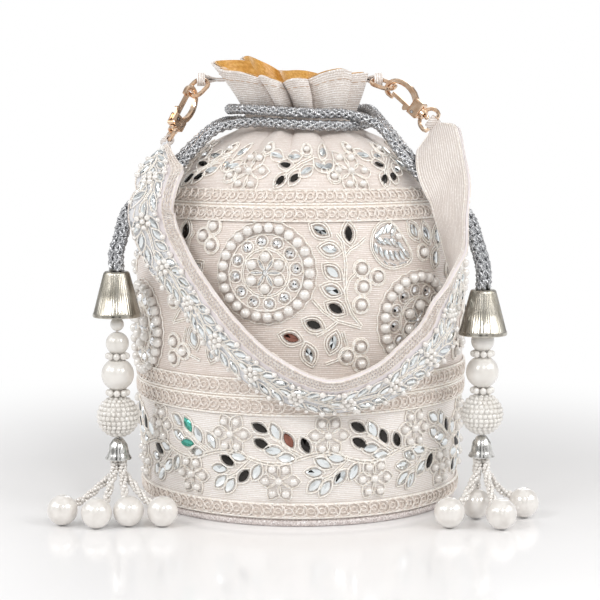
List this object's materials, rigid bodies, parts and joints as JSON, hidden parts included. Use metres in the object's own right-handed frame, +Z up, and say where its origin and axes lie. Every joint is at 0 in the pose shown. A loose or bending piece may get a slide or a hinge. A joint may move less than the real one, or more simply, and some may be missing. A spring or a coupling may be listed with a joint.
{
  "type": "potli drawstring bag",
  "caption": "Round embroidered drawstring pouch with a gathered ruffle neck, corded closures ending in pearl tassels and a clip-on cloth wrist strap.",
  "frame": {"origin": "middle of the base panel's flat underside, on the surface the bag stands on", "axes": "+Z up, -Y is the front that carries the draped strap, +X to the viewer's right"},
  "size_m": [0.2319, 0.1854, 0.2196],
  "materials": {
    "ivory_cloth": "ribbed lurex cloth, embroidered",
    "ruffle_cloth": "ribbed lurex cloth",
    "gold_satin": "satin lining",
    "lilac_lurex": "sparkling piped cloth",
    "board": "plain",
    "cream_lace": "ring-stitched lace",
    "silver_cord": "braided metallic yarn",
    "pale_gold_metal": "polished pale gold plate",
    "silver_plate": "bright plate",
    "pearl": "pearl lacquer",
    "strap_cloth": "embroidered band",
    "white_thread": "twisted thread"
  },
  "bodies": {
    "bag": {"base_panel": "lilac_lurex", "base_board": "board", "lower_panel": "ivory_cloth", "main_panel": "ivory_cloth", "shoulder_panel": "ivory_cloth", "neck_ruffle": "ruffle_cloth", "lining": "gold_satin", "lace_lower": "cream_lace", "lace_middle": "cream_lace", "lace_upper": "cream_lace", "left_drawcord": "silver_cord", "right_drawcord": "silver_cord", "left_cone_cap": "pale_gold_metal", "left_small_pearl": "pearl", "left_medium_pearl": "pearl", "left_upper_pearl_ring": "pearl", "left_large_pearl": "pearl", "left_lower_pearl_ring": "pearl", "left_beaded_ball": "pearl", "left_bell_cap": "silver_plate", "left_thread": "white_thread", "left_strand_1": "pearl", "left_end_pearl_1": "pearl", "left_strand_2": "pearl", "left_end_pearl_2": "pearl", "left_strand_3": "pearl", "left_end_pearl_3": "pearl", "left_strand_4": "pearl", "left_end_pearl_4": "pearl", "right_cone_cap": "pale_gold_metal", "right_medium_pearl": "pearl", "right_upper_pearl_ring": "pearl", "right_large_pearl": "pearl", "right_lower_pearl_ring": "pearl", "right_beaded_ball": "pearl", "right_bell_cap": "silver_plate", "right_thread": "white_thread", "right_strand_1": "pearl", "right_end_pearl_1": "pearl", "right_strand_2": "pearl", "right_end_pearl_2": "pearl", "right_strand_3": "pearl", "right_end_pearl_3": "pearl", "right_strand_4": "pearl", "right_end_pearl_4": "pearl", "left_tab": "ruffle_cloth", "right_tab": "ruffle_cloth"},
    "handle": {"left_link": "pale_gold_metal", "right_link": "pale_gold_metal", "left_swivel_eye": "pale_gold_metal", "right_swivel_eye": "pale_gold_metal", "strap": "strap_cloth"},
    "left_hook": {"left_hook": "pale_gold_metal", "left_gate_pin": "silver_plate", "left_gate_spring": "silver_plate"},
    "left_gate": {"left_gate": "pale_gold_metal"},
    "right_hook": {"right_hook": "pale_gold_metal", "right_gate_pin": "silver_plate", "right_gate_spring": "silver_plate"},
    "right_gate": {"right_gate": "pale_gold_metal"}
  },
  "joints": [
    {"name": "handle_swing", "type": "hinge", "parent": "bag", "child": "handle", "pos_m": [0, -0.008, 0.208], "axis": [-1, 0, 0], "range_deg": [0, 150]},
    {"name": "left_hook_swivel", "type": "hinge", "parent": "handle", "child": "left_hook", "pos_m": [-0.06073, -0.02633, 0.18463], "axis": [0.3831, 0.4881, 0.7842], "range_deg": [0, 46]},
    {"name": "left_gate_pivot", "type": "hinge", "parent": "left_hook", "child": "left_gate", "pos_m": [-0.06057, -0.02607, 0.18873], "axis": [-0.7804, 0.6252, -0.0079], "range_deg": [0, 16], "stiffness_Nm_per_rad": 0.01, "springref_deg": -17.19},
    {"name": "right_hook_swivel", "type": "hinge", "parent": "handle", "child": "right_hook", "pos_m": [0.05865, -0.02575, 0.19192], "axis": [-0.6469, 0.455, 0.6119], "range_deg": [-42, 0]},
    {"name": "right_gate_pivot", "type": "hinge", "parent": "right_hook", "child": "right_gate", "pos_m": [0.05525, -0.02346, 0.19218], "axis": [0.5571, 0.83, -0.0282], "range_deg": [0, 16], "stiffness_Nm_per_rad": 0.01, "springref_deg": -17.19}
  ]
}
